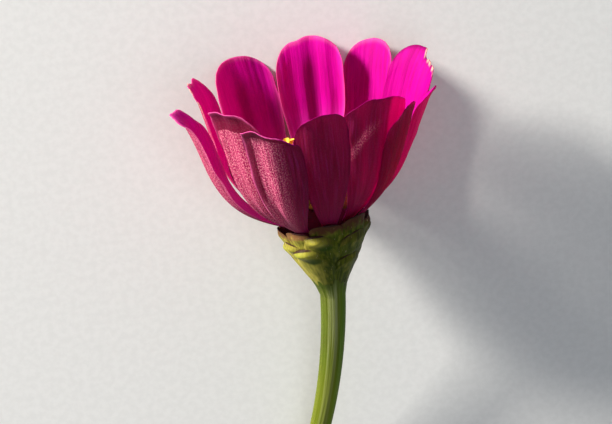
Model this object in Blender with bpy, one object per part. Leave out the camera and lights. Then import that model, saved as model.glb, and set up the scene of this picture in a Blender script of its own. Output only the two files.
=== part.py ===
"""A zinnia bloom, picked on a short stem and laid on its side.

The bloom is modelled in its own frame: the origin is the middle of the green cup's rim, +Z runs up
the flower's axis, +X is the bloom's right side and -Y its front. Every piece is parented to one
empty, which lays the bloom down so that its back petals and the cut end of its stem touch Z = 0.
"""

import math
from collections import namedtuple

import bmesh
import bpy
from mathutils import Matrix, Vector

MM = 0.001

# --- Petals -------------------------------------------------------------------------------------

PETAL_THICKNESS = 0.45 * MM
PETAL_ROWS = 12
PETAL_COLUMNS = 8
PETAL_FOOT_RADIUS = 5.2 * MM
PETAL_FOOT_HEIGHT = 0.9 * MM
PETAL_LAYER_STEP = 0.7 * MM
PETAL_WAIST = 0.68
PETAL_SHOULDER = 0.78
PETAL_CLAW = 0.24
PETAL_TAPER = 1.3
PETAL_FOOT_CURL = 0.8
PETAL_SPINE_STEPS = 60
NOTCH_WIDTH = 0.16

# PETAL_WAIST is the share of its length at which a petal starts to flare, and PETAL_SHOULDER where
# it is widest and its end begins to round. PETAL_CLAW is how wide its foot is, as a share of its
# width, PETAL_TAPER how fast it widens, and PETAL_FOOT_CURL how much more it bends from side to
# side at its foot. The other sizes are those of the petals' feet on the receptacle.
#
# azimuth is the way the petal leans, 0 to the front and 90 to the right, and foot how much further
# round than that its foot stands. leave, waist and tip are its lean away from the flower's axis at
# the foot, two thirds of the way up and at the end. sway turns it sideways and twist turns its
# face, both by the time it reaches the end. cup is how far it bends from side to side. All are
# degrees; length and width are millimetres. layer says how many steps out from the axis it starts,
# square how blunt its end is, skew how much further its side of greater azimuth reaches, and notch
# is the dent in its end, as a share of its length.
Petal = namedtuple(
    "Petal",
    "name azimuth foot length width leave waist tip sway twist cup layer square skew notch notch_at",
)
PETALS = (
    Petal("ray_petal_01", 4, 5, 25.2, 9.5, 42, 9, 17, 4, 0, 60, 1, 2.1, 0.02, 0.0, 0.3),
    Petal("ray_petal_02", 41, 14, 26.2, 12.2, 48, 13, 23, 3, -25, 50, 0, 2.4, 0.02, 0.0, 0.0),
    Petal("ray_petal_03", 61, 3, 25.0, 7.8, 49, 21.5, 24, -7, 0, 62, 2, 1.5, 0.0, 0.0, 0.1),
    Petal("ray_petal_04", 88.5, 0, 26.0, 8.5, 58, 25, 33, -1, -15, 60, 1, 2.0, 0.0, 0.03, 0.2),
    Petal("ray_petal_05", 115, 2, 30.4, 10.4, 62, 21.5, 38, -4, 24, 44, 0, 2.3, 0.0, 0.0, -0.3),
    Petal("ray_petal_06", 145, 0, 30.0, 9.8, 64, 20, 27, 3, 0, 60, 1, 2.3, -0.012, 0.0, 0.2),
    Petal("ray_petal_07", 173, 6, 30.6, 12.4, 60, 12, 18, 0, 0, 70, 0, 2.1, 0.0, 0.012, 0.3),
    Petal("ray_petal_08", -142.5, -8, 29.9, 12.2, 62, 16, 20, -10, 0, 68, 1, 2.2, 0.0, 0.0, 0.2),
    Petal("ray_petal_09", -107, 0, 31.0, 7.4, 62, 9.5, 29, -2, 0, 66, 0, 1.9, 0.0, 0.03, 0.0),
    Petal("ray_petal_10", -80, 0, 30.5, 10.0, 65, 13.5, 36, 0, -22, 90, 1, 1.6, 0.07, 0.02, 0.0),
    Petal("ray_petal_11", -47, 0, 30.3, 11.2, 60, 9, 17, 2, 0, 54, 0, 2.4, -0.01, 0.0, 0.0),
    Petal("ray_petal_12", -14, -20, 28.1, 10.0, 57, 16, 28, 0, -8, 58, 2, 2.6, -0.05, 0.0, 0.0),
)

# --- Green cup ----------------------------------------------------------------------------------

BRACT_THICKNESS = 0.4 * MM
BRACT_ROWS = 5
BRACT_COLUMNS = 6
BRACT_SHOULDER = 0.6
BRACT_SQUARE = 2.2
BRACT_INSET_POWER = 4
RIM_TILT = 0.4 * MM
RIM_RISE = 2.2 * MM
RIM_HIGH_AT = 25

# (height, outer radius) of the cup, from the stem up.
CUP_OUTLINE = (
    (-13.0 * MM, 2.2 * MM),
    (-11.2 * MM, 2.7 * MM),
    (-9.4 * MM, 3.5 * MM),
    (-7.6 * MM, 4.5 * MM),
    (-5.8 * MM, 5.6 * MM),
    (-3.8 * MM, 6.7 * MM),
    (-2.0 * MM, 7.5 * MM),
    (0.0 * MM, 8.05 * MM),
    (1.2 * MM, 8.2 * MM),
    (3.4 * MM, 8.9 * MM),
)

# The bracts stand in three rings. turn is where the first one is, low and high where each begins
# and ends, the insets how deep below the cup's outline, coverage how much of the ring is bract, and
# rise how much of RIM_RISE is added to its tip at RIM_HIGH_AT degrees round, where the rim is highest.
Ring = namedtuple("Ring", "name count turn low high inset_low inset_high coverage rise")
BRACT_RINGS = (
    Ring("outer_bract", 5, -28, -8.4 * MM, -3.0 * MM, 0.2 * MM, 0.16 * MM, 0.94, 0.4),
    Ring("middle_bract", 7, -60, -7.0 * MM, -0.9 * MM, 1.0 * MM, 0.22 * MM, 0.93, 0.8),
    Ring("inner_bract", 9, -38, -5.0 * MM, 0.6 * MM, 1.7 * MM, 0.1 * MM, 0.92, 1.0),
)

# --- Stem and receptacle ------------------------------------------------------------------------

# (height, radius) of the receptacle that the stem swells into, from the top down.
RECEPTACLE = (
    (3.0 * MM, 0.6 * MM),
    (2.8 * MM, 2.4 * MM),
    (2.0 * MM, 4.0 * MM),
    (0.8 * MM, 4.7 * MM),
    (-1.0 * MM, 5.1 * MM),
    (-3.0 * MM, 4.7 * MM),
    (-5.4 * MM, 3.3 * MM),
    (-7.6 * MM, 2.7 * MM),
    (-8.4 * MM, 2.9 * MM),
    (-8.7 * MM, 3.8 * MM),
    (-9.4 * MM, 3.45 * MM),
    (-11.2 * MM, 2.65 * MM),
)
STEM_START = -13.0 * MM
STEM_LENGTH = 42.0 * MM
STEM_RADIUS = 2.15 * MM
STEM_END_RADIUS = 1.5 * MM
STEM_TILT = 5
STEM_BEND_RADIUS = 95.0 * MM
STEM_SIDES = 16
STEM_RINGS = 12

# --- Disc ---------------------------------------------------------------------------------------

# (height, radius) of the dome of unopened florets and chaff.
DOME = (
    (3.3 * MM, 1.6 * MM),
    (3.6 * MM, 2.5 * MM),
    (5.0 * MM, 3.0 * MM),
    (8.0 * MM, 3.3 * MM),
    (10.4 * MM, 3.1 * MM),
    (11.9 * MM, 2.2 * MM),
    (12.6 * MM, 0.8 * MM),
)
DOME_SIDES = 18
FLORET_COUNT = 9
FLORET_TURN = -5
FLORET_FOOT_RADIUS = 4.05 * MM
FLORET_FOOT_HEIGHT = 2.4 * MM
FLORET_LENGTH = 10.8 * MM
FLORET_STEP = 0.9 * MM
FLORET_LEAN = 7
FLORET_LOBES = 5
# (share of the length, radius) of a floret, and how deep the cuts between its lobes go there.
FLORET_OUTLINE = (
    (0.0, 0.45 * MM, 0.0),
    (0.35, 0.5 * MM, 0.0),
    (0.78, 0.65 * MM, 0.0),
    (0.93, 1.15 * MM, 0.2),
    (1.0, 1.75 * MM, 0.45),
)
FLORET_THROAT = 0.88
FLORET_THROAT_RADIUS = 0.3 * MM

# --- How the bloom lies -------------------------------------------------------------------------

LIE_PITCH = 12.37
LIE_ROLL = -3.85
LIE_SHIFT = (-0.32 * MM, 11.17 * MM, 13.59 * MM)

# --- Materials and shading ----------------------------------------------------------------------

# (base colour, roughness)
PETAL_LOOK = ((0.62, 0.01, 0.22), 0.6)
BRACT_LOOK = ((0.25, 0.3, 0.06), 0.5)
STEM_LOOK = ((0.27, 0.4, 0.07), 0.5)
DOME_LOOK = ((0.16, 0.05, 0.05), 0.8)
FLORET_LOOK = ((0.9, 0.5, 0.03), 0.5)
SHARP_ANGLE = 40


def material(name, colour, roughness):
    """A plain Principled material of one colour."""
    made = bpy.data.materials.new(name)
    made.use_nodes = True
    shader = made.node_tree.nodes["Principled BSDF"]
    shader.inputs["Base Color"].default_value = (*colour, 1.0)
    shader.inputs["Roughness"].default_value = roughness
    return made


def outward(azimuth):
    """The level unit vector away from the axis at an azimuth in degrees."""
    turn = math.radians(azimuth)
    return Vector((math.sin(turn), -math.cos(turn), 0.0))


def sideways(azimuth):
    """The level unit vector along the cup's rim at an azimuth in degrees."""
    turn = math.radians(azimuth)
    return Vector((math.cos(turn), math.sin(turn), 0.0))


def rim_lift(azimuth):
    """How much higher than their mean height the petals' feet are at an azimuth."""
    return RIM_TILT * math.sin(math.radians(azimuth))


def rim_rise(azimuth):
    """How much higher the cup's rim is at an azimuth than it is at the back."""
    towards = max(0.0, math.cos(math.radians(azimuth - RIM_HIGH_AT)))
    return RIM_RISE * towards**2


def along_outline(outline, z):
    """The radius of a (height, radius) outline at height z."""
    for (low, r_low), (high, r_high) in zip(outline, outline[1:]):
        if z <= high:
            share = max(0.0, (z - low) / (high - low))
            return r_low + (r_high - r_low) * share
    return outline[-1][1]


def lean_at(petal, u):
    """Degrees between the petal's spine and the flower's axis at a share u of its length."""
    if u < PETAL_WAIST:
        ease = 0.5 + 0.5 * math.cos(math.pi * u / PETAL_WAIST)
        return petal.waist + (petal.leave - petal.waist) * ease
    ease = ((u - PETAL_WAIST) / (1 - PETAL_WAIST)) ** 2
    return petal.waist + (petal.tip - petal.waist) * ease


def petal_axes(petal, u):
    """The unit vectors along the petal, across it and out of its inner face, at u."""
    lean = math.radians(lean_at(petal, u))
    azimuth = petal.azimuth + petal.sway * u
    along = outward(azimuth) * math.sin(lean) + Vector((0, 0, math.cos(lean)))
    across = Matrix.Rotation(math.radians(petal.twist) * u, 3, along) @ sideways(azimuth)
    return along, across, along.cross(across)


def petal_spine(petal):
    """Points along the petal's middle, from its foot on the receptacle to its tip."""
    steps = PETAL_SPINE_STEPS
    radius = PETAL_FOOT_RADIUS + petal.layer * PETAL_LAYER_STEP
    height = PETAL_FOOT_HEIGHT + rim_lift(petal.azimuth)
    point = outward(petal.azimuth + petal.foot) * radius + Vector((0, 0, height))
    found = [point.copy()]
    for i in range(steps):
        point += petal_axes(petal, (i + 0.5) / steps)[0] * (petal.length * MM / steps)
        found.append(point.copy())
    return found


def petal_surface(petal):
    """The function of (s, t) that gives a point of the petal's middle surface.

    s runs from the foot, 0, to the end, 1. t runs from one side, -1, to the other, 1.
    """
    spine = petal_spine(petal)
    bend = math.radians(petal.cup) / (petal.width * MM)

    def point(s, t):
        rounding = (1 - abs(t) ** petal.square) ** (1 / petal.square)
        dent = petal.notch * math.exp(-(((t - petal.notch_at) / NOTCH_WIDTH) ** 2))
        end = PETAL_SHOULDER + (1 - PETAL_SHOULDER) * rounding + petal.skew * t - dent
        u = s * end
        place = u * (len(spine) - 1)
        i = min(int(place), len(spine) - 2)
        centre = spine[i].lerp(spine[i + 1], place - i)
        across, inward = petal_axes(petal, u)[1:]
        swell = math.sin(math.pi / 2 * min(1.0, u / PETAL_SHOULDER)) ** PETAL_TAPER
        half = petal.width * MM / 2 * (PETAL_CLAW + (1 - PETAL_CLAW) * swell)
        curl = bend * (1 + PETAL_FOOT_CURL * (1 - u) ** 2)
        angle = curl * t * half
        side, rise = math.sin(angle) / curl, (1 - math.cos(angle)) / curl
        return centre + across * side + inward * rise

    return point


def bract_surface(ring, number):
    """The function of (s, t) that gives a point of one bract's middle surface."""
    azimuth = ring.turn + 360 * number / ring.count
    half_turn = 180 / ring.count * ring.coverage
    high = ring.high + ring.rise * rim_rise(azimuth)

    def point(s, t):
        rounding = (1 - abs(t) ** BRACT_SQUARE) ** (1 / BRACT_SQUARE)
        u = s * (BRACT_SHOULDER + (1 - BRACT_SHOULDER) * rounding)
        z = ring.low + (high - ring.low) * u
        ease = u**BRACT_INSET_POWER
        inset = ring.inset_low + (ring.inset_high - ring.inset_low) * ease
        radius = along_outline(CUP_OUTLINE, z) - inset
        return outward(azimuth + t * half_turn) * radius + Vector((0, 0, z))

    return point


def add_object(name, shape, finish):
    """Turns a bmesh into a named object of one material, shaded smooth between its edges."""
    bmesh.ops.recalc_face_normals(shape, faces=shape.faces)
    mesh = bpy.data.meshes.new(name)
    shape.to_mesh(mesh)
    shape.free()
    mesh.shade_smooth()
    mesh.set_sharp_from_angle(angle=math.radians(SHARP_ANGLE))
    mesh.materials.append(finish)
    made = bpy.data.objects.new(name, mesh)
    bpy.context.scene.collection.objects.link(made)
    return made


def blade(name, surface, rows, columns, thickness, finish):
    """A leaf-like solid: a grid laid on surface(s, t), thickened evenly to both sides.

    The columns of the grid close up towards its two sides, where the outline turns fastest.
    """
    shape = bmesh.new()
    bmesh.ops.create_grid(shape, x_segments=columns, y_segments=rows, size=1.0)
    for vertex in shape.verts:
        across, along = vertex.co.x, vertex.co.y
        side = max(-1.0, min(1.0, math.sin(math.pi / 2 * across)))
        vertex.co = surface((along + 1) / 2, side)
    made = add_object(name, shape, finish)
    solidify = made.modifiers.new("Thickness", "SOLIDIFY")
    solidify.thickness = thickness
    solidify.offset = 0.0
    return made


def lathe(stations, sides, reach=lambda k, i: 1.0):
    """A bmesh that skins one ring of vertices to the next and closes both ends.

    Each station is (centre, direction, radius) of a ring, and reach(k, i) scales the radius of
    vertex k in ring i.
    """
    shape = bmesh.new()
    loops = []
    for i, (centre, along, radius) in enumerate(stations):
        across = Vector((0, 1, 0)).cross(along).normalized()
        up = along.cross(across)
        loop = []
        for k in range(sides):
            turn = 2 * math.pi * k / sides
            spoke = across * math.cos(turn) + up * math.sin(turn)
            loop.append(shape.verts.new(centre + spoke * radius * reach(k, i)))
        loops.append(loop)
    for first, second in zip(loops, loops[1:]):
        for k in range(sides):
            m = (k + 1) % sides
            shape.faces.new((first[k], first[m], second[m], second[k]))
    shape.faces.new(loops[0][::-1])
    shape.faces.new(loops[-1])
    return shape


def stem(finish):
    """The stem and the receptacle that it swells into inside the cup, as one solid."""
    stations = [(Vector((0, 0, z)), Vector((0, 0, -1)), radius) for z, radius in RECEPTACLE]
    centre = Vector((0, 0, STEM_START))
    step = STEM_LENGTH / STEM_RINGS
    for i in range(STEM_RINGS + 1):
        turn = math.radians(STEM_TILT) + i * step / STEM_BEND_RADIUS
        along = Vector((-math.sin(turn), 0, -math.cos(turn)))
        radius = STEM_RADIUS + (STEM_END_RADIUS - STEM_RADIUS) * i / STEM_RINGS
        stations.append((centre.copy(), along, radius))
        centre += along * step
    return add_object("stem", lathe(stations, STEM_SIDES), finish)


def dome(finish):
    """The dome of unopened florets in the middle of the bloom."""
    up = Vector((0, 0, 1))
    stations = [(Vector((0, 0, z)), up, radius) for z, radius in DOME]
    return add_object("disc_dome", lathe(stations, DOME_SIDES), finish)


def floret(number, finish):
    """One open yellow floret: a thin tube that flares into five lobes."""
    azimuth = FLORET_TURN + 360 * number / FLORET_COUNT
    lean = math.radians(FLORET_LEAN)
    along = outward(azimuth) * math.sin(lean) + Vector((0, 0, math.cos(lean)))
    foot = outward(azimuth) * FLORET_FOOT_RADIUS + Vector((0, 0, FLORET_FOOT_HEIGHT))
    length = FLORET_LENGTH + (FLORET_STEP if number % 3 == 0 else 0.0)
    outline = (*FLORET_OUTLINE, (FLORET_THROAT, FLORET_THROAT_RADIUS, 0.0))
    stations = [(foot + along * length * share, along, radius) for share, radius, cut in outline]

    def reach(k, i):
        return 1 - outline[i][2] * (k % 2)

    shape = lathe(stations, 2 * FLORET_LOBES, reach)
    return add_object(f"disc_floret_{number + 1:02d}", shape, finish)


def lay_down(pieces):
    """Parents every piece to one empty, which lays the bloom on its side on Z = 0."""
    axis = bpy.data.objects.new("bloom_axis", None)
    bpy.context.scene.collection.objects.link(axis)
    for piece in pieces:
        piece.parent = axis
    roll = Matrix.Rotation(math.radians(LIE_ROLL), 4, "Z")
    tip_over = Matrix.Rotation(math.radians(LIE_PITCH - 90), 4, "X")
    axis.matrix_world = Matrix.Translation(LIE_SHIFT) @ tip_over @ roll


def build():
    for old in list(bpy.data.objects):
        bpy.data.objects.remove(old)
    petal_finish = material("petal", *PETAL_LOOK)
    bract_finish = material("bract", *BRACT_LOOK)
    floret_finish = material("floret", *FLORET_LOOK)
    pieces = [stem(material("stem", *STEM_LOOK)), dome(material("dome", *DOME_LOOK))]
    for number in range(FLORET_COUNT):
        pieces.append(floret(number, floret_finish))
    for petal in PETALS:
        grid = (petal_surface(petal), PETAL_ROWS, PETAL_COLUMNS, PETAL_THICKNESS)
        pieces.append(blade(petal.name, *grid, petal_finish))
    for ring in BRACT_RINGS:
        for number in range(ring.count):
            name = f"{ring.name}_{number + 1:02d}"
            grid = (bract_surface(ring, number), BRACT_ROWS, BRACT_COLUMNS, BRACT_THICKNESS)
            pieces.append(blade(name, *grid, bract_finish))
    lay_down(pieces)


build()
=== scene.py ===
"""The looks of the zinnia bloom: fine petals, bracts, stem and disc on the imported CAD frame.

Shapes are worked out in the bloom's own frame, in millimetres: the origin is the middle of the green
cup's rim, +Z runs up the flower's axis, +X is the bloom's right side and -Y its front. lay_down turns
them into the frame's metres, with the bloom on its side. Azimuths run from the front towards the right.
Named numbers are millimetres, degrees, counts or shares, unless a comment says otherwise.

On a blade s runs from 0 at its foot to 1 at its end, and t from -1 to 1 across it, towards larger
azimuths. Marks are values at a piece's points, which its material reads by name.
"""

import math
from collections import namedtuple

import bpy
import numpy as np
from mathutils import Matrix, Vector


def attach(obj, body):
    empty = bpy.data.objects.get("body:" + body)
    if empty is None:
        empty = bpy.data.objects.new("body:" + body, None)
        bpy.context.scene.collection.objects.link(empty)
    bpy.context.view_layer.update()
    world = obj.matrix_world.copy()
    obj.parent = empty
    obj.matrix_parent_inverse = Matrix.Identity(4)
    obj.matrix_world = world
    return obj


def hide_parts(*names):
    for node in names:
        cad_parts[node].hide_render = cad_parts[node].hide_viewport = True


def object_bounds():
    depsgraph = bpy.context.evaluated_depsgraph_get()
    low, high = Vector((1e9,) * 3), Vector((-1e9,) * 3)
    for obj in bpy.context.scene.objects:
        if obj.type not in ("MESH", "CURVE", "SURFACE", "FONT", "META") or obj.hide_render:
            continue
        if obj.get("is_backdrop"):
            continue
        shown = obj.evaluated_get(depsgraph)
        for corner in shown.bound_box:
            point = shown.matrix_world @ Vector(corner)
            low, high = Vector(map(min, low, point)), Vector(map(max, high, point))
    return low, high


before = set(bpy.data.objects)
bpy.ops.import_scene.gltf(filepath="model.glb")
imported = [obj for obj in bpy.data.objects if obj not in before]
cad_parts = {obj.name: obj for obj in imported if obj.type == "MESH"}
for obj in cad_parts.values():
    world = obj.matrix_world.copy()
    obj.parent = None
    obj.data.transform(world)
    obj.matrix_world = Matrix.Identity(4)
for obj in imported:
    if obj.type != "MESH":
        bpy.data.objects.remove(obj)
CAD_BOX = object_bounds()

# --- How the bloom lies ---

LIE_PITCH = 12.37
LIE_ROLL = -3.85
LIE_SHIFT = (-0.32, 11.17, 13.59)
TO_METRES = 0.001

# --- Petals ---

PETAL_THICKNESS = 0.42
PETAL_ROWS = 110
PETAL_COLUMNS = 60
PETAL_SPINE_STEPS = 240
PETAL_TEXTURE_GAP = 40.0
# A petal straightens up to its waist and flares out after it. At its foot it has the share PETAL_CLAW
# of its width, widens to all of it at its shoulder, and curls more by PETAL_FOOT_CURL.
PETAL_FOOT_RADIUS = 5.2
PETAL_FOOT_HEIGHT = 0.9
PETAL_LAYER_STEP = 0.7
PETAL_WAIST = 0.68
PETAL_SHOULDER = 0.78
PETAL_CLAW = 0.24
PETAL_TAPER = 1.3
PETAL_FOOT_CURL = 0.8
EDGE_THINNING = 0.72
NOTCH_WIDTH = 0.16
# How deep the waves of a petal's end and sides are, and its teeth and bite, as shares of its size.
WAVER_DEPTH = 0.0012
SIDE_WAVER_DEPTH = 0.012
TOOTH_DEPTH = 0.012
BITE_DEPTH = 0.045
FOLD_SHARPNESS = 0.8
RIB_COUNT = 11
RIB_HEIGHT = 0.03
FRILL_HEIGHT = 0.22
# The end rolls outwards from LIP_START on, and at its sides only by the share LIP_AT_SIDES.
LIP_START = 0.9
LIP_AT_SIDES = 0.25
LIP_UNEVENNESS = 0.25
# The petals' feet stand higher towards the right, and the bracts' tips towards RIM_HIGH_AT.
RIM_TILT = 0.4
RIM_RISE = 2.2
RIM_HIGH_AT = 25

# The outer faces have painted sunlight at the bloom's left, in dusky pink with pale painted glints, and
# painted shade elsewhere: by PAINTED_SUN_LEAST up to the first azimuth of PAINTED_SUN_TURN and fully
# from the second on. A point's azimuth is its petal's and PAINTED_SUN_ACROSS times its t, or times
# PAINTED_SUN_LEFTMOST if t is less.
# Petals beyond PAINTED_SUN_LIMIT have PAINTED_SUN_BEHIND.
PAINTED_SUN_TURN = (-2, -15)
PAINTED_SUN_ACROSS = 20
PAINTED_SUN_LEFTMOST = -0.2
PAINTED_SUN_LEAST = 0.05
PAINTED_SUN_LIMIT = 125
PAINTED_SUN_BEHIND = 0.45

# One petal shines brighter along its right side, and has a small patch of painted sunlight near its
# left
# side: how far along it is, how far across, how long, how broad and how slanted.
STRIPED = "ray_petal_02"
CLEAR_STRIP = 0.3
PAINTED_SUN_PATCH = (0.72, -0.45, 0.04, 0.35, 0.2)
PAINTED_SUN_PATCH_STRENGTH = 1.3

# The painted shadow down the middle of a petal's inner face lies at SHADOW_BAND_AT across it.
SHADOW_BAND_AT = 0.06
SHADOW_BAND_BREADTH = 0.24
# The painted shadow under a petal's rolled end starts this far along, and later the broader the painted
# shadow at its side is. It comes in over SHADOW_BORDER_FADE of the length, and at the side over twice
# SHADOW_BORDER_SIDE_FADE.
SHADOW_BORDER_START = 0.79
SHADOW_BORDER_NARROWING = 0.33
SHADOW_BORDER_FADE = 0.035
SHADOW_BORDER_SIDE_FADE = 0.06

# The columns from name to notch_at are the petal's shape, as the CAD has it. foot is how far round from
# azimuth its foot is, leave, waist and tip how far it leans out at its foot, waist and tip, sway and
# twist how far it turns round the bloom and round itself, cup how far it curls across, layer how many
# steps out its foot is, square and skew how square and how slanted its end is and notch the dent in it.
# folds is how many lengthwise folds it has, depth how deep they are and phase where they lie across it.
# lip is how far its end rolls outwards, ragged how torn its end is towards t = 1, or towards t = -1
# with a bite out of it where ragged is negative. clear is how much light shines through it, flush how
# dark the painted shadow down the middle of its inner face is, and hem how broad the painted shadow
# along its outer face is on the side towards t = -1.
Petal = namedtuple(
    "Petal",
    "name azimuth foot length width leave waist tip sway twist cup layer square skew notch notch_at"
    " folds depth phase lip ragged clear flush hem",
)
PETALS = (
    Petal("ray_petal_01", 4, 5, 25.2, 9.5, 42, 9, 17, 4, 0, 60, 1, 2.1, 0.02, 0.0, 0.3,
          3, 0.12, 0.4, 24, 0.0, 0.22, 0.0, 0.0),
    Petal("ray_petal_02", 41, 14, 26.2, 12.2, 48, 13, 23, 3, -25, 50, 0, 2.4, 0.02, 0.0, 0.0,
          3, 0.22, 2.2, 20, 0.0, 0.26, 0.0, 0.0),
    Petal("ray_petal_03", 61, 3, 25.0, 7.8, 49, 21.5, 24, -7, 0, 62, 2, 1.5, 0.0, 0.0, 0.1,
          2, 0.12, 1.0, 12, 0.0, 0.4, 0.0, 0.0),
    Petal("ray_petal_04", 88.5, 0, 26.0, 8.5, 58, 25, 33, -1, -15, 60, 1, 2.0, 0.0, 0.03, 0.2,
          2, 0.12, 0.2, 24, 0.3, 0.36, 0.0, 0.0),
    Petal("ray_petal_05", 115, 2, 30.4, 10.4, 62, 21.5, 38, -4, 24, 44, 0, 2.3, 0.0, 0.0, -0.3,
          3, 0.08, 1.7, 14, -1.0, 0.4, 0.0, 0.0),
    Petal("ray_petal_06", 145, 0, 30.0, 9.8, 64, 20, 27, 3, 0, 60, 1, 2.3, -0.012, 0.0, 0.2,
          2, 0.08, 0.9, 6, 0.0, 0.4, 0.0, 0.0),
    Petal("ray_petal_07", 173, 6, 30.6, 12.4, 60, 12, 18, 0, 0, 70, 0, 2.1, 0.0, 0.012, 0.3,
          3, 0.26, -2.8, 14, 0.0, 0.4, 0.7, 0.0),
    Petal("ray_petal_08", -142.5, -8, 29.9, 12.2, 62, 16, 20, -10, 0, 68, 1, 2.2, 0.0, 0.0, 0.2,
          2, 0.2, 1.2, 4, 0.0, 0.4, 0.6, 0.0),
    Petal("ray_petal_09", -107, 0, 31.0, 7.4, 62, 9.5, 29, -2, 0, 66, 0, 1.9, 0.0, 0.03, 0.0,
          2, 0.12, 0.5, 18, 1.0, 0.42, 0.2, 0.0),
    Petal("ray_petal_10", -80, 0, 30.5, 10.0, 65, 13.5, 36, 0, -22, 90, 1, 1.6, 0.07, 0.02, 0.0,
          2, 0.14, 2.0, 44, 0.2, 0.3, 0.0, 0.0),
    Petal("ray_petal_11", -47, 0, 30.3, 11.2, 60, 9, 17, 2, 0, 54, 0, 2.4, -0.01, 0.0, 0.0,
          3, 0.16, 1.5, 36, 0.0, 0.26, 0.0, 0.18),
    Petal("ray_petal_12", -14, -20, 28.1, 10.0, 57, 16, 28, 0, -8, 58, 2, 2.6, -0.05, 0.0, 0.0,
          2, 0.3, 2.8, 54, 0.0, 0.2, 0.0, 0.34),
)

# --- Green cup ---

BRACT_THICKNESS = 0.5
BRACT_ROWS = 36
BRACT_COLUMNS = 36
BRACT_TEXTURE_GAP = 30.0
BRACT_OVERLAP = 1.12
BRACT_KEEL = 0.08
BRACT_LAP = 0.08
BRACT_EDGE_INSET = 0.14
BRACT_UNEVENNESS = 0.06
BRACT_TIP_POWERS = (2.2, 1.8)
BRACT_TEXTURE_SIZE = (3.0, 6.0)
BRACT_EDGE_BREADTH = 0.45
# A blade's pale or dark edge keeps close to its sides by this power of t.
EDGE_POWER = 14

# (height, outer radius) of the green cup, from the stem up. Its mean rim is at height 0.
CUP_OUTLINE = (
    (-13.0, 2.2), (-11.2, 2.7), (-9.4, 3.5), (-7.6, 4.5), (-5.8, 5.6),
    (-3.8, 6.7), (-2.0, 7.5), (0.0, 8.05), (1.2, 8.2), (3.4, 8.9),
)

# turn is where a ring's first bract is, low and high where its bracts begin and end, the insets how
# deep below the cup's outline they lie there, shoulder how far up their sides reach, rise how much of
# the rim's rise their tips share and brown how brown they are. lifts say how much higher than high
# each tip is, and knobs how far each bract swells under its tip, in millimetres.
Ring = namedtuple(
    "Ring", "name count turn low high inset_low inset_high shoulder rise brown lifts knobs"
)
BRACT_RINGS = (
    Ring("outer_bract", 5, -28, -12.2, -3.0, 0.16, 0.28, 0.5, 0.4, 0.1,
         (0.7, -1.9, 0.3, -0.6, 0.2), (1.2, 0.2, 0.7, 0.6, 0.8)),
    Ring("middle_bract", 7, -60, -7.0, -0.8, 0.55, 0.28, 0.6, 0.8, 0.3,
         (-0.5, 0.3, -0.9, 0.2, -0.3, 0.4, -0.6), (0.5, 1.1, 0.15, 0.5, 0.7, 0.5, 0.9)),
    Ring("inner_bract", 9, -38, -5.0, 0.3, 0.8, 0.3, 0.82, 1.1, 1.0,
         (0.2, 0.1, 0.2, 0.0, 0.2, -0.2, 0.1, -0.1, 0.1),
         (0.2, 0.3, 0.2, 0.3, 0.1, 0.2, 0.3, 0.2, 0.2)),
)
KNOB_BELOW_TIP = 1.2
KNOB_HEIGHT = 0.8
KNOB_BREADTH = 0.4
KNOB_ASIDE = 0.25
# A bract that swells at least this much has the full painted light and painted shadow of a knob.
KNOB_PLUMP = 1 / 1.2
# The painted shadow beside each knob lies this far below its middle, and this share of the width aside.
KNOB_SHADOW_BELOW = 1.2
KNOB_SHADOW_ASIDE = 0.35

# --- Stem and receptacle ---

# (height, radius) of the receptacle that the stem swells into, from the top down.
RECEPTACLE = (
    (3.0, 0.6), (2.8, 2.4), (2.0, 4.0), (0.8, 4.7), (-1.0, 5.1), (-3.0, 4.7),
    (-5.4, 3.9), (-7.6, 3.6), (-8.4, 3.75), (-9.4, 3.45), (-11.2, 2.65),
)
STEM_START = -13.0
STEM_LENGTH = 42.0
STEM_RADIUS = 2.15
STEM_END_RADIUS = 1.5
STEM_TILT = 5
STEM_BEND_RADIUS = 95.0
STEM_SIDES = 96
STEM_RINGS = 150
STEM_RIDGES = 9
STEM_RIDGE_DEPTH = 0.02 / 1.5
STEM_RIDGE_TWIST = 0.02
STEM_WANDER = 0.0036
# How far down from the receptacle's top the stem's ridges begin and are full.
STEM_RIDGED = (11.0, 15.0)
STEM_SEED = 7
STEM_PLACE_RADIUS = 2
RECEPTACLE_RINGS = 50

# --- Disc ---

# (height, radius) of the dome of unopened florets and chaff, from the bottom up.
DOME = ((3.3, 1.6), (3.6, 2.3), (5.0, 2.6), (8.0, 2.8), (10.2, 2.5), (11.4, 1.7), (11.9, 0.4))
DOME_RINGS = 40
DOME_SIDES = 48
CORE_INSET = 0.5
CORE_SUNK = 0.8
# The buds and the chaff lean out at the dome's foot, and have lost most of it at its top.
LEAN_AT_FOOT = 62
LEAN_LOST = 58
GOLDEN_ANGLE = 180 * (3 - math.sqrt(5))
BUD_SIDES = 10
BUD_RINGS = 9
# How many buds or scales there are, how long and thick they are, how far they stick out at the dome's
# foot, how pointed they are and the number that marks their kind.
Crop = namedtuple("Crop", "count length radius lift point kind")
CROPS = (Crop(170, 1.9, 0.5, 0.15, 0.3, 1.0), Crop(200, 2.2, 0.2, 0.05, 0.9, 2.0))
FLORET_COUNT = 9
FLORET_TURN = -5
FLORET_FOOT_RADIUS = 4.05
FLORET_FOOT_HEIGHT = 2.4
FLORET_LENGTH = 10.8
FLORET_STEP = 0.9
FLORET_LEAN = 7
FLORET_LOBES = 5
FLORET_SIDES = 60
FLORET_RINGS = 56
FLORET_INSIDE = 0.6
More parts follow.
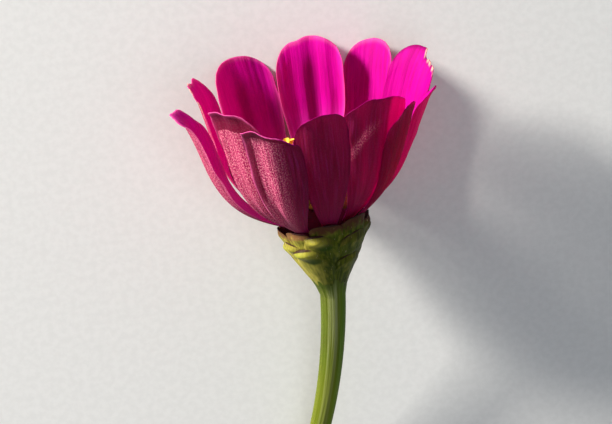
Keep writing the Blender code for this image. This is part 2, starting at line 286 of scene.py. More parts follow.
# (share of the length, radius, how deep the cuts between the lobes go): up the outside of the tube,
# over the lobes' edge and back down into the throat.
FLORET_OUTLINE = (
    (0.0, 0.42, 0.0), (0.3, 0.47, 0.0), (0.6, 0.52, 0.0), (0.75, 0.66, 0.0),
    (0.84, 0.85, 0.05), (0.9, 1.05, 0.14), (0.95, 1.3, 0.28), (0.985, 1.6, 0.42),
    (0.995, 1.8, 0.5), (0.999, 1.72, 0.49), (0.965, 1.25, 0.3), (0.92, 0.85, 0.14),
    (0.86, 0.6, 0.05), (0.78, 0.4, 0.0), (0.7, 0.3, 0.0),
)

# --- View and light ---

# The camera looks from the bloom's front, VIEW_ELEVATION up and rolled by VIEW_LEAN. VIEW_WIDTH is how
# much it takes in at the bloom, and VIEW_RIGHT and VIEW_UP how far beside the bloom's origin it aims.
# The clip distances and the floor's reach are metres.
VIEW_ELEVATION = 21
VIEW_LEAN = 8
VIEW_DISTANCE = 480.0
VIEW_WIDTH = 102.0
VIEW_RIGHT = -2.83
VIEW_UP = 1.67
SENSOR_WIDTH = 36.0
CLIP_START = 0.02
CLIP_END = 10.0
FLOOR_REACH = 3.0

# A key softbox low at the bloom's left and a weak one overhead: directions from the bloom in the frame,
# distances and sizes in metres, watts and colours.
Softbox = namedtuple("Softbox", "name direction distance size watts colour")
SOFTBOXES = (
    Softbox("key", (-0.77, 0.60, 0.23), 1.2, 0.25, 36.0, (1.0, 0.95, 0.88)),
    Softbox("overhead", (0.1, -0.2, 1.0), 1.2, 0.9, 3.7, (0.93, 0.96, 1.0)),
)
SURROUND_COLOUR = (0.85, 0.9, 1.0, 1.0)
SURROUND_STRENGTH = 0.17

# --- Shapes in the bloom's frame ---

# The direction of the flower's axis, from the stem to the blossom.
UP = np.array([0.0, 0.0, 1.0])


def outward(azimuth):
    """The level unit vectors away from the axis at azimuths in degrees."""
    turn = np.radians(azimuth)
    return np.stack([np.sin(turn), -np.cos(turn), np.zeros_like(turn)], -1)


def rim_lift(azimuth):
    """How much higher than at the front the petals' feet stand at an azimuth."""
    return RIM_TILT * math.sin(math.radians(azimuth))


def rim_rise(azimuth):
    """How far up the bracts' tips reach at an azimuth: most at the front right."""
    towards = max(0.0, math.cos(math.radians(azimuth - RIM_HIGH_AT)))
    return RIM_RISE * towards**2


def smooth(low, high, value):
    """0 on low's side, 1 on high's and an even S between them, whichever of the two is greater."""
    share = np.clip((value - low) / (high - low), 0, 1)
    return share * share * (3 - 2 * share)


def waver(values, seed, count, first=1.0):
    """A smooth wandering line through values, of mean 0 and height about 1, that a seed picks."""
    rng = np.random.default_rng(seed)
    total = np.zeros_like(values, dtype=float)
    for k in range(count):
        pace = first * 1.7**k
        total += np.sin(pace * values + rng.uniform(0, 2 * math.pi)) / 1.5**k
    return total / 1.5


def lean_at(petal, u):
    """Degrees between the petal's spine and the flower's axis at shares u of its length."""
    ease = 0.5 + 0.5 * np.cos(math.pi * np.minimum(u, PETAL_WAIST) / PETAL_WAIST)
    low = petal.waist + (petal.leave - petal.waist) * ease
    flare = (np.maximum(u - PETAL_WAIST, 0) / (1 - PETAL_WAIST)) ** 2
    return low + (petal.tip - petal.waist) * flare


def petal_axes(petal, u):
    """The unit vectors along the petal, across it and out of its inner face, at u."""
    lean = np.radians(lean_at(petal, u))[..., None]
    azimuth = petal.azimuth + petal.sway * u
    along = outward(azimuth) * np.sin(lean) + UP * np.cos(lean)
    twist = np.radians(petal.twist * u)[..., None]
    level = outward(azimuth + 90)
    across = level * np.cos(twist) + np.cross(along, level) * np.sin(twist)
    return along, across, np.cross(along, across)


def petal_spine(petal):
    """Points along the petal's middle, from its foot on the receptacle to its tip."""
    radius = PETAL_FOOT_RADIUS + petal.layer * PETAL_LAYER_STEP
    height = PETAL_FOOT_HEIGHT + rim_lift(petal.azimuth)
    foot = outward(petal.azimuth + petal.foot) * radius + UP * height
    middles = (np.arange(PETAL_SPINE_STEPS) + 0.5) / PETAL_SPINE_STEPS
    steps = petal_axes(petal, middles)[0] * petal.length / PETAL_SPINE_STEPS
    return np.vstack([foot, foot + np.cumsum(steps, axis=0)])


def petal_seed(petal):
    """The petal's number, which picks its random lines."""
    return int(petal.name[-2:])


def petal_end(petal, t):
    """Where the petal ends at t across it, as a share of its length, with its tears."""
    seed = petal_seed(petal)
    rounding = (1 - np.abs(t) ** petal.square) ** (1 / petal.square)
    dent = petal.notch * np.exp(-(((t - petal.notch_at) / NOTCH_WIDTH) ** 2))
    end = PETAL_SHOULDER + (1 - PETAL_SHOULDER) * rounding + petal.skew * t - dent
    end = end + WAVER_DEPTH * waver(t, seed, 4, 5.0)
    torn = t * np.sign(petal.ragged)
    teeth = np.abs(waver(t, seed + 50, 4, 31.0)) * smooth(0.0, 0.25, torn) * smooth(0.95, 0.7, torn)
    bite = BITE_DEPTH * (petal.ragged < 0) * smooth(0.1, 0.18, torn) * smooth(1.0, 0.5, torn)
    return end - abs(petal.ragged) * TOOTH_DEPTH * teeth - bite


def petal_relief(petal, u, t):
    """How far the folds, ribs and frilled sides lift the petal's surface towards its inner face."""
    fold = np.cos(petal.folds * math.pi * t + petal.phase + 0.5 * u)
    fold = np.sign(fold) * np.abs(fold) ** FOLD_SHARPNESS
    fold = fold * smooth(0.05, 0.35, u) * smooth(1.02, 0.8, u)
    ribs = np.cos(RIB_COUNT * math.pi * t + petal.phase * 3)
    ribs = RIB_HEIGHT * ribs * smooth(0.02, 0.2, u) * smooth(1, 0.85, u)
    seed = petal_seed(petal)
    frill = np.abs(t) ** 5 * FRILL_HEIGHT * waver(u, seed + (t > 0), 3, 11.0) * smooth(0.25, 0.6, u)
    return petal.depth * fold * (1 - 0.5 * t**2) * (1 - 0.6 * t) + ribs + frill


def rolled_lip(petal, s, t, end):
    """How far the rolled end reaches onwards and falls outwards at (s, t), and its turn in radians."""
    seed = petal_seed(petal)
    over = np.maximum(s - LIP_START, 0) * end * petal.length
    reach = (1 - LIP_START) * end * petal.length
    roll = np.radians(petal.lip) * (1 + LIP_UNEVENNESS * waver(t, seed + 70, 3, 3.0)) / reach
    roll = roll * (LIP_AT_SIDES + (1 - LIP_AT_SIDES) * smooth(1.0, 0.7, np.abs(t)))
    turned = over * roll
    return np.sin(turned) / roll, (1 - np.cos(turned)) / roll, turned


def petal_points(petal, s, t, side):
    """Points of the petal's surface: side is 1 for its inner face and -1 for its outer face."""
    spine = petal_spine(petal)
    end = petal_end(petal, t)
    u = np.minimum(s, LIP_START) * end
    stops = np.linspace(0, 1, len(spine))
    centre = np.stack([np.interp(u, stops, spine[:, k]) for k in range(3)], -1)
    along, across, inward = petal_axes(petal, u)
    swell = np.sin(math.pi / 2 * np.minimum(1, u / PETAL_SHOULDER)) ** PETAL_TAPER
    half = petal.width / 2 * (PETAL_CLAW + (1 - PETAL_CLAW) * swell)
    half = half * (1 + SIDE_WAVER_DEPTH * waver(u + 0.3 * t, petal_seed(petal) + 20, 3, 9.0))
    curl = np.radians(petal.cup) / petal.width * (1 + PETAL_FOOT_CURL * (1 - u) ** 2)
    angle = curl * t * half
    point = centre + across * (np.sin(angle) / curl)[..., None]
    point = point + inward * ((1 - np.cos(angle)) / curl)[..., None]
    face = inward * np.cos(angle)[..., None] - across * np.sin(angle)[..., None]

    onwards, fallen, turned = rolled_lip(petal, s, t, end)
    point = point + face * petal_relief(petal, u, t)[..., None]
    point = point + along * onwards[..., None] - face * fallen[..., None]
    face = face * np.cos(turned)[..., None] + along * np.sin(turned)[..., None]

    thin = 1 - EDGE_THINNING * np.maximum(np.abs(t) ** 6, smooth(0.8, 1.0, s) ** 2)
    return point + face * (side * PETAL_THICKNESS / 2 * thin)[..., None]


def cup_radius(z):
    """The radius of the green cup at height z."""
    heights, radii = np.array(CUP_OUTLINE).T
    return np.interp(z, heights, radii)


def bract_traits(ring, number):
    """A bract's azimuth, the height of its tip and where across it its knob is."""
    azimuth = ring.turn + 360 * number / ring.count
    high = ring.high + ring.rise * rim_rise(azimuth) + ring.lifts[number]
    return azimuth, high, KNOB_ASIDE * math.sin(5.0 * number + ring.count)


def bract_share(ring, s, t):
    """How far up a bract the points (s, t) are: its tip is at 1 and its sides end lower."""
    across, along = BRACT_TIP_POWERS
    rounding = (1 - np.abs(t) ** across) ** (1 / along)
    return s * (ring.shoulder + (1 - ring.shoulder) * rounding)


def bract_knob(ring, number, s, t, below=0.0, aside=0.0):
    """The swelling under a bract's tip: 1 at its top and 0 beside it, or moved down and aside."""
    high, middle = bract_traits(ring, number)[1:]
    below_tip = (1 - bract_share(ring, s, t)) * (high - ring.low)
    above = (below_tip - KNOB_BELOW_TIP - below) / KNOB_HEIGHT
    return np.exp(-(above**2) - ((t - middle - aside) / KNOB_BREADTH) ** 2)


def bract_points(ring, number, s, t, side):
    """Points of one bract's surface: side is 1 for its outer face and -1 for its inner face."""
    seed = 100 * ring.count + number
    half_turn = 180 / ring.count * BRACT_OVERLAP
    azimuth, high = bract_traits(ring, number)[:2]
    u = bract_share(ring, s, t)
    z = ring.low + (high - ring.low) * u
    inset = ring.inset_low + (ring.inset_high - ring.inset_low) * u**3
    swell = ring.knobs[number] * bract_knob(ring, number, s, t)
    keel = BRACT_KEEL * np.exp(-((t / 0.3) ** 2)) * smooth(0.1, 0.6, u)
    lapping = BRACT_LAP * t * smooth(0.0, 0.4, u)
    margin = np.maximum(np.abs(t) ** 5, smooth(0.75, 1.0, s))
    thin = (1 - 0.8 * margin) * (0.1 + 0.9 * smooth(0.0, 0.5, s))
    radius = cup_radius(z) - inset + swell + keel + lapping - BRACT_EDGE_INSET * margin
    radius = radius + BRACT_UNEVENNESS * waver(t + u, seed, 3, 4.0)
    radius = radius + side * BRACT_THICKNESS / 2 * thin
    return outward(azimuth + t * half_turn) * radius[..., None] + UP * z[..., None]


# --- Meshes ---


def add_object(name, data):
    """A new object with this data, in the scene."""
    made = bpy.data.objects.new(name, data)
    bpy.context.scene.collection.objects.link(made)
    return made


def lie_matrix():
    """Turns a point of the bloom's frame, in millimetres, into the frame's, still in millimetres."""
    tip_over = Matrix.Rotation(math.radians(LIE_PITCH - 90), 4, "X")
    roll = Matrix.Rotation(math.radians(LIE_ROLL), 4, "Z")
    return Matrix.Translation(LIE_SHIFT) @ tip_over @ roll


def lay_down(points):
    """The same points in the frame's metres, with the bloom on its side."""
    matrix = np.array(lie_matrix())
    return (points @ matrix[:3, :3].T + matrix[:3, 3]) * TO_METRES


def add_mesh(name, points, faces, material, replaced, marks):
    """A smooth mesh piece on the root body. marks are its named values, one for each point."""
    mesh = bpy.data.meshes.new(name)
    mesh.from_pydata(lay_down(points).tolist(), [], faces)
    for mark, values in marks.items():
        values = np.ascontiguousarray(values, np.float32)
        kind, key = ("FLOAT", "value") if values.ndim == 1 else ("FLOAT_VECTOR", "vector")
        mesh.attributes.new(mark, kind, "POINT").data.foreach_set(key, values.ravel())
    mesh.shade_smooth()
    mesh.materials.append(material)
    piece = add_object(name, mesh)
    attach(piece, "root")
    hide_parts(*replaced)


def grid_faces(rows, columns, offset=0, flip=False):
    """Quads of a grid of points, row by row, of rows by columns quads."""
    found = []
    for i in range(rows):
        for j in range(columns):
            a = offset + i * (columns + 1) + j
            quad = (a, a + 1, a + columns + 2, a + columns + 1)
            found.append(quad[::-1] if flip else quad)
    return found


def rim_faces(rows, columns):
    """Quads that close the edge between a front grid and the back grid that follows it."""
    count = (rows + 1) * (columns + 1)
    edge = list(range(columns))
    edge += [i * (columns + 1) + columns for i in range(rows)]
    edge += [rows * (columns + 1) + j for j in range(columns, 0, -1)]
    edge += [i * (columns + 1) for i in range(rows, 0, -1)]
    return [(a, a + count, b + count, b) for a, b in zip(edge, edge[1:] + edge[:1])]


def blade(name, surface, rows, columns, material, replaced, marks):
    """A leaf-like closed piece. surface(s, t, side) gives its two faces. marks are functions of the
    same three, each with the name of the mark that it gives."""
    s = np.linspace(0, 1, rows + 1)[:, None] * np.ones(columns + 1)
    t = np.ones(rows + 1)[:, None] * np.sin(math.pi / 2 * np.linspace(-1, 1, columns + 1))
    s, t = s.ravel(), t.ravel()
    points = np.vstack([surface(s, t, 1.0), surface(s, t, -1.0)])
    both = {}
    for mark in marks:
        both[mark.__name__] = np.concatenate([mark(s, t, 1.0), mark(s, t, -1.0)])
    faces = grid_faces(rows, columns)
    faces += grid_faces(rows, columns, offset=len(s), flip=True)
    faces += rim_faces(rows, columns)
    add_mesh(name, points, faces, material, replaced, both)


def petal(shape, material):
    """One ray petal, with the marks that its material reads."""
    seed = petal_seed(shape)

    def place(s, t, side):
        u = s * petal_end(shape, t)
        apart = np.full_like(u, PETAL_TEXTURE_GAP * seed)
        return np.stack([t * shape.width / 2, u * shape.length, apart], -1)

    def inner(s, t, side):
        return np.full_like(s, max(side, 0.0))

    def rim(s, t, side):
        return np.maximum(np.abs(t) ** EDGE_POWER, smooth(0.965, 1.0, s)) * smooth(0.1, 0.4, s)

    def along(s, t, side):
        return s * petal_end(shape, t)

    def wear(s, t, side):
        torn = abs(shape.ragged) * smooth(0.95, 1.0, s) * smooth(-0.1, 0.15, t * np.sign(shape.ragged))
        return torn * (0.5 + 0.5 * waver(t, seed + 90, 3, 19.0)).clip(0, 1)

    # Painted sunlight: 1 where the outer face is painted as sunlit, down to a little where it is
    # painted in shade.
    def frost(s, t, side):
        if abs(shape.azimuth) > PAINTED_SUN_LIMIT:
            return np.full_like(s, PAINTED_SUN_BEHIND)
        turned = shape.azimuth + PAINTED_SUN_ACROSS * np.maximum(t, PAINTED_SUN_LEFTMOST)
        sunlit_share = np.maximum(smooth(*PAINTED_SUN_TURN, turned), PAINTED_SUN_LEAST)
        # A small pool of painted sunlight on one petal.
        far, aside, long, broad, slant = PAINTED_SUN_PATCH
        patch = np.exp(-(((s - far - slant * (t - aside)) / long) ** 2) - ((t - aside) / broad) ** 2)
        patch = np.minimum(PAINTED_SUN_PATCH_STRENGTH * patch, 1.0) * (shape.name == STRIPED)
        return np.maximum(sunlit_share, patch)

    def clear(s, t, side):
        strip = CLEAR_STRIP * (shape.name == STRIPED) * smooth(0.3, 0.42, t)
        return np.full_like(s, shape.clear) + strip

    # Painted shadow down the middle of the inner face.
    def flush(s, t, side):
        middle = np.exp(-(((t - SHADOW_BAND_AT) / SHADOW_BAND_BREADTH) ** 2))
        return shape.flush * middle * smooth(1.0, 0.75, along(s, t, side))

    # Painted shadow under the rolled end, and along the side towards t = -1.
    def hem(s, t, side):
        start = SHADOW_BORDER_START + SHADOW_BORDER_NARROWING * shape.hem
        border = shape.hem - 1
        side_border = smooth(border + SHADOW_BORDER_SIDE_FADE, border - SHADOW_BORDER_SIDE_FADE, t) * smooth(0.3, 0.6, s)
        return np.maximum(smooth(start, start + SHADOW_BORDER_FADE, s), side_border) * (shape.hem > 0)

    blade(
        "petal_" + shape.name[-2:],
        lambda s, t, side: petal_points(shape, s, t, side),
        PETAL_ROWS,
        PETAL_COLUMNS,
        material,
        [shape.name],
        (place, inner, rim, along, wear, frost, clear, flush, hem),
    )


def bract(ring, number, material):
    """One bract of the green cup, with the marks that its material reads."""
    seed = 10 * ring.count + number
    plump = min(1.0, ring.knobs[number] / KNOB_PLUMP)

    def place(s, t, side):
        across, along = BRACT_TEXTURE_SIZE
        return np.stack([t * across, s * along, np.full_like(s, BRACT_TEXTURE_GAP * seed)], -1)

    def tip(s, t, side):
        return bract_share(ring, s, t)

    def knob(s, t, side):
        return bract_knob(ring, number, s, t) * plump

    # Painted shadow beside and below the knob.
    def hollow(s, t, side):
        return bract_knob(ring, number, s, t, KNOB_SHADOW_BELOW, KNOB_SHADOW_ASIDE) * plump

    def rim(s, t, side):
        edge = np.maximum(np.abs(t) ** EDGE_POWER, smooth(0.94, 0.99, s))
        middle = bract_traits(ring, number)[2]
        over_knob = np.exp(-(((t - middle) / BRACT_EDGE_BREADTH) ** 2))
        return edge * smooth(0.45, 0.8, tip(s, t, side)) * np.maximum(over_knob, 0.35 * ring.brown)

    def brown(s, t, side):
        return np.full_like(s, ring.brown)

    def inner(s, t, side):
        return np.full_like(s, max(-side, 0.0))

    # Painted sunlight: 1 at the bloom's left, 0 at its right.
    def sunny(s, t, side):
        azimuth = bract_traits(ring, number)[0] + t * 180 / ring.count
        return 0.5 - 0.5 * np.sin(np.radians(azimuth))

    name = f"{ring.name}_{number + 1:02d}"
    blade(
        "scale_" + name,
        lambda s, t, side: bract_points(ring, number, s, t, side),
        BRACT_ROWS,
        BRACT_COLUMNS,
        material,
        [name],
        (place, tip, knob, hollow, rim, brown, inner, sunny),
    )


def ring_frame(along):
    """Two unit vectors square to a direction, the first one square to the bloom's Y axis too."""
    across = np.cross(np.array([0.0, 1.0, 0.0]), along)
    across /= np.linalg.norm(across)
    return across, np.cross(along, across)


def tube(stations, sides, reach):
    """Points and faces of a closed tube. A station is (centre, direction, radius); reach(turn, i)
    scales the radius of ring i at the angles turn."""
    turn = np.linspace(0, 2 * math.pi, sides, endpoint=False)
    rings = []
    for i, (centre, along, radius) in enumerate(stations):
        across, up = ring_frame(np.asarray(along, float))
        spokes = np.cos(turn)[:, None] * across + np.sin(turn)[:, None] * up
        rings.append(np.asarray(centre) + spokes * (radius * reach(turn, i))[:, None])
    faces = []
    for i in range(len(rings) - 1):
        for k in range(sides):
            m = (k + 1) % sides
            faces.append((i * sides + k, i * sides + m, (i + 1) * sides + m, (i + 1) * sides + k))
    faces.append(tuple(range(sides))[::-1])
    faces.append(tuple((len(rings) - 1) * sides + k for k in range(sides)))
    return np.vstack(rings), faces


def even(turn, i):
    """The reach of a round tube."""
    return np.ones_like(turn)


def stem_stations():
    """The rings of the receptacle and the stem: (centre, direction, radius, millimetres along)."""
    heights, radii = np.array(RECEPTACLE[::-1]).T
    stations = []
    for z in np.linspace(heights[-1], heights[0], RECEPTACLE_RINGS):
        radius = np.interp(z, heights, radii)
        stations.append((UP * z, -UP, radius, heights[-1] - z))
    centre = UP * STEM_START
    step = STEM_LENGTH / STEM_RINGS
    for i in range(STEM_RINGS + 1):
        turn = math.radians(STEM_TILT) + i * step / STEM_BEND_RADIUS
        along = np.array([-math.sin(turn), 0, -math.cos(turn)])
        radius = STEM_RADIUS + (STEM_END_RADIUS - STEM_RADIUS) * i / STEM_RINGS
        stations.append((centre.copy(), along, radius, heights[-1] - STEM_START + i * step))
        centre = centre + along * step
    return stations


def stem(material):
    """The stem, ridged along its length, and the receptacle."""
    stations = stem_stations()
    lengths = np.array([station[3] for station in stations])
    ridged = smooth(*STEM_RIDGED, lengths)

    def reach(turn, i):
        ridge = 1 - np.abs(np.cos(STEM_RIDGES * turn + STEM_RIDGE_TWIST * lengths[i]))
        wander = waver(turn + 0.15 * lengths[i], STEM_SEED, 2)
        return 1 + ridged[i] * (STEM_RIDGE_DEPTH * ridge + STEM_WANDER * wander)

    points, faces = tube([station[:3] for station in stations], STEM_SIDES, reach)
    turn = np.tile(np.linspace(0, 2 * math.pi, STEM_SIDES, endpoint=False), len(stations))
    along = np.repeat(lengths, STEM_SIDES)
    place = np.stack([STEM_PLACE_RADIUS * np.cos(turn), STEM_PLACE_RADIUS * np.sin(turn), along], -1)
    add_mesh("stalk", points, faces, material, ["stem"], {"place": place})


def floret(number, material):
    """One open floret: a thin tube that flares into five lobes and opens into a throat."""
    out = outward(FLORET_TURN + 360 * number / FLORET_COUNT)
    lean = math.radians(FLORET_LEAN)
    along = out * math.sin(lean) + UP * math.cos(lean)
    foot = out * FLORET_FOOT_RADIUS + UP * FLORET_FOOT_HEIGHT
    length = FLORET_LENGTH + (FLORET_STEP if number % 3 == 0 else 0.0)
    knots = np.arange(len(FLORET_OUTLINE))
    path = np.linspace(0, knots[-1], FLORET_RINGS)
    shares, radii, cuts = (np.interp(path, knots, row) for row in np.array(FLORET_OUTLINE).T)

    def reach(turn, i):
        lobe = 0.5 + 0.5 * np.cos(FLORET_LOBES * turn)
        return 1 - cuts[i] * (1 - lobe**0.7)

    stations = [(foot + along * length * share, along, r) for share, r in zip(shares, radii)]
    points, faces = tube(stations, FLORET_SIDES, reach)
    inside = np.arange(FLORET_RINGS) > FLORET_RINGS * FLORET_INSIDE
    marks = {
        "height": np.repeat(shares, FLORET_SIDES),
        "inner": np.repeat(inside, FLORET_SIDES).astype(float),
    }
    name = f"disc_floret_{number + 1:02d}"
    add_mesh("open_" + name[5:], points, faces, material, [name], marks)


def spindle(centre, along, length, radius, point):
    """A small bud: a tube with rounded ends, narrower towards the far end the more point is."""
    shares = np.linspace(0, 1, BUD_RINGS)
    radii = radius * np.sin(math.pi * np.clip(shares, 0.04, 0.97)) ** 0.6 * (1 - point * shares)
    stations = [(centre + along * length * share, along, r) for share, r in zip(shares, radii)]
    points, faces = tube(stations, BUD_SIDES, even)
    return points, faces, np.repeat(shares, BUD_SIDES)


def dome_spots(count):
    """Heights and radii of count places on the dome, each with the same share of its skin."""
    heights, radii = np.array(DOME).T
    fine = np.linspace(heights[0], heights[-1], 400)
    round_it = np.interp(fine, heights, radii)
    steps = np.hypot(np.diff(fine), np.diff(round_it)) * round_it[1:]
    covered = np.concatenate([[0], np.cumsum(steps)]) / np.sum(steps)
    shares = (np.arange(count) + 0.5) / count
    return np.interp(shares, covered, fine), np.interp(shares, covered, round_it)


def dome_core():
    """The dome's core, a little inside its skin so that the buds and chaff stand out."""
    heights, radii = np.array(DOME).T
    fine = np.linspace(heights[0], heights[-1], DOME_RINGS)
    sunk = CORE_SUNK * (fine - fine[0]) / (fine[-1] - fine[0])
    core = np.maximum(np.interp(fine, heights, radii) - CORE_INSET, 0.1)
    stations = [(UP * z, UP, r) for z, r in zip(fine - sunk, core)]
    return tube(stations, DOME_SIDES, even)


def dome_crop(crop):
    """The buds or the chaff, one after another up a spiral: each one's points, faces and shares."""
    for k, (z, r) in enumerate(zip(*dome_spots(crop.count))):
        share = (k + 0.5) / crop.count
        out = outward(GOLDEN_ANGLE * k + 60 * crop.kind)
        lean = math.radians(LEAN_AT_FOOT - LEAN_LOST * share)
        along = out * math.sin(lean) + UP * math.cos(lean)
        start = out * (r - 0.75 * crop.length * math.sin(lean) + crop.lift * (1 - share))
        start = start + UP * (z - crop.length * (0.35 + 0.3 * share))
        yield spindle(start, along, crop.length, crop.radius * (1 - 0.15 * share), crop.point)


def dome(material):
    """The dome: a core with unopened florets and dark pointed chaff, in one mesh."""
    points, faces = dome_core()
    groups = [points]
    heights = [np.zeros(len(points))]
    kinds = [np.zeros(len(points))]
    for crop in CROPS:
        for points, own_faces, shares in dome_crop(crop):
            offset = sum(map(len, groups))
            faces += [tuple(index + offset for index in face) for face in own_faces]
            groups.append(points)
            heights.append(shares)
            kinds.append(np.full(len(points), crop.kind))
    marks = {"kind": np.concatenate(kinds), "height": np.concatenate(heights)}
    add_mesh("disc", np.vstack(groups), faces, material, ["disc_dome"], marks)


# --- Materials ---


class Looks:
    """One material's nodes. Inputs are numbers, colours or the sockets of other nodes."""

    def __init__(self, name):
        self.material = bpy.data.materials.new(name)
        self.material.use_nodes = True
        self.tree = self.material.node_tree
        self.tree.nodes.clear()

    def add(self, kind, inputs=None, **settings):
        """A shader node with its inputs linked or set, and its settings."""
        node = self.tree.nodes.new("ShaderNode" + kind)
        for name, value in settings.items():
            setattr(node, name, value)
        for key, value in (inputs or {}).items():
            if isinstance(value, bpy.types.NodeSocket):
                self.tree.links.new(value, node.inputs[key])
            else:
                node.inputs[key].default_value = value
        return node

    def mark(self, name, output="Fac"):
        """One of the piece's marks."""
        return self.add("Attribute", attribute_name=name).outputs[output]

    def maths(self, operation, a, b, clamp=False):
        """A sum or product, held between 0 and 1 if clamp is set."""
        return self.add("Math", {0: a, 1: b}, operation=operation, use_clamp=clamp).outputs[0]

    def mix(self, share, a, b):
        """Colour a turning into colour b as share goes from 0 to 1."""
        return self.add("Mix", {"Factor": share, 6: a, 7: b}, data_type="RGBA").outputs[2]

    def band(self, value, low, high, out_low=0.0, out_high=1.0):
        """value's stretch from low to high mapped to out_low to out_high, and held outside it."""
        ends = {"From Min": low, "From Max": high, "To Min": out_low, "To Max": out_high}
        made = self.add("MapRange", {"Value": value, **ends}, interpolation_type="SMOOTHSTEP")
        return made.outputs["Result"]

    def spread(self, noise):
        """A noise's usual values, from 0.35 to 0.65, spread from 0 to 1."""
        return self.band(noise, 0.35, 0.65)

    def scatter(self, noise, amount):
        """A noise spread by amount to both sides of 0, to break up a border."""
        return self.band(noise, 0.3, 0.7, -amount, amount)

    def stretched(self, vector, scale):
        """A place scaled along its axes: the less along one, the longer a noise's marks there."""
        return self.add("Mapping", {"Vector": vector, "Scale": scale}).outputs[0]

    def noise(self, vector, scale, detail=2.0, roughness=0.5):
        """A noise of mean 0.5."""
        inputs = {"Vector": vector, "Scale": scale, "Detail": detail, "Roughness": roughness}
        return self.add("TexNoise", inputs).outputs["Fac"]

    def bump(self, height, strength, distance, under=None):
        """A relief by a height from 0 to 1, distance metres deep, on top of the one under it."""
        inputs = {"Height": height, "Strength": strength, "Distance": distance}
        if under is not None:
            inputs["Normal"] = under
        return self.add("Bump", inputs).outputs[0]

    def finish(self, shader):
        """The material, with its surface set."""
        output = self.add("OutputMaterial", {"Surface": shader.outputs[0]})
        output.is_active_output = True
        return self.material


def rgb(red, green, blue):
    """An opaque colour, in linear light."""
    return (red, green, blue, 1.0)


def petal_material():
    """Velvety magenta inside, painted shade in dark red and painted sunlight in dusky pink outside, and
    light shines through.
    """
    looks = Looks("petal")
    place = looks.mark("place", "Vector")
    inner = looks.mark("inner")
    along = looks.mark("along")
    rim = looks.mark("rim")
    wear = looks.mark("wear")
    frost = looks.mark("frost")
    veins = looks.noise(looks.stretched(place, (2.6, 0.09, 1.0)), 1.0, 3.0, 0.6)
    streaks = looks.noise(looks.stretched(place, (5.5, 0.16, 1.0)), 1.0, 2.0, 0.6)
    blotch = looks.noise(looks.stretched(place, (0.35, 0.22, 1.0)), 1.0, 2.0)
    grain = looks.noise(looks.stretched(place, (1.0, 0.7, 1.0)), 4.4, 2.0, 0.7)
    fine = looks.noise(place, 9.0, 1.0)

    deep = looks.mix(looks.spread(veins), rgb(0.52, 0.0, 0.25), rgb(0.74, 0.0, 0.39))
    deep = looks.mix(looks.band(blotch, 0.4, 0.7, 0.0, 0.45), deep, rgb(0.78, 0.0, 0.46))
    inside = looks.mix(looks.band(along, 0.66, 0.35, 0.0, 0.7), deep, rgb(0.95, 0.06, 0.60))

    # Painted shadow down the middle of the inner face, in dark purple.
    shadow_banded = looks.maths("ADD", looks.mark("flush"), looks.scatter(veins, 0.12), clamp=True)
    inside = looks.mix(looks.band(shadow_banded, 0.12, 0.6, 0.0, 0.8), inside, rgb(0.20, 0.0, 0.09))

    # The outer face in painted shade, dark red with purple streaks, and in painted sunlight, dusky
    # pink.
    shade = looks.mix(looks.spread(veins), rgb(0.09, 0.002, 0.02), rgb(0.17, 0.004, 0.045))
    shade = looks.mix(looks.band(streaks, 0.5, 0.7, 0.0, 0.7), shade, rgb(0.20, 0.012, 0.13))
    sunlit_rose = looks.mix(looks.spread(streaks), rgb(0.20, 0.006, 0.05), rgb(0.50, 0.035, 0.15))
    # Pale painted glints, where the outer face has painted sunlight.
    glint_specks = looks.band(grain, 0.46, 0.6, 0.0, 0.9)
    painted_glints = looks.maths("MULTIPLY", glint_specks, looks.band(streaks, 0.3, 0.55, 0.4, 1.0))
    sunlit_rose = looks.mix(painted_glints, sunlit_rose, rgb(0.95, 0.30, 0.40))
    outside = looks.mix(frost, shade, sunlit_rose)
    outside = looks.mix(looks.band(along, 0.42, 0.12, 0.0, 0.55), outside, rgb(0.15, 0.004, 0.05))
    # Painted shadow under the rolled end and along one side of the outer face.
    hem = looks.maths("ADD", looks.mark("hem"), looks.scatter(streaks, 0.2), clamp=True)
    outside = looks.mix(looks.band(hem, 0.3, 0.7, 0.0, 0.9), outside, rgb(0.10, 0.003, 0.022))

    colour = looks.mix(inner, outside, inside)
    # Thin edges painted as lit pink where the outer face has painted sunlight, and painted dark where
    # it is in painted shade.
    edge = looks.mix(looks.band(frost, 0.15, 0.4), rgb(0.10, 0.0, 0.04), rgb(1.0, 0.16, 0.48))
    colour = looks.mix(looks.maths("MULTIPLY", rim, 0.6), colour, edge)
    colour = looks.mix(looks.band(wear, 0.25, 0.7, 0.0, 0.9), colour, rgb(0.86, 0.62, 0.45))

    ridges = looks.bump(veins, 0.5, 0.00022)
    velvet = looks.bump(grain, 0.6, 0.00011, ridges)
    normal = looks.bump(fine, 0.25, 0.00004, velvet)
    skin = looks.add("BsdfPrincipled", {
        "Base Color": colour,
        "Roughness": 0.55,
        "Specular IOR Level": 0.05,
        "Sheen Weight": 0.04,
        "Sheen Roughness": 0.4,
        "Sheen Tint": rgb(0.9, 0.15, 0.9),
        "Normal": normal,
    })
    glow = looks.mix(inner, rgb(0.9, 0.0, 0.30), rgb(1.0, 0.0, 0.55))
    through = looks.add("BsdfTranslucent", {"Color": glow, "Normal": ridges})
    both = looks.add("MixShader", {0: looks.mark("clear"), 1: skin.outputs[0], 2: through.outputs[0]})
    return looks.finish(both)


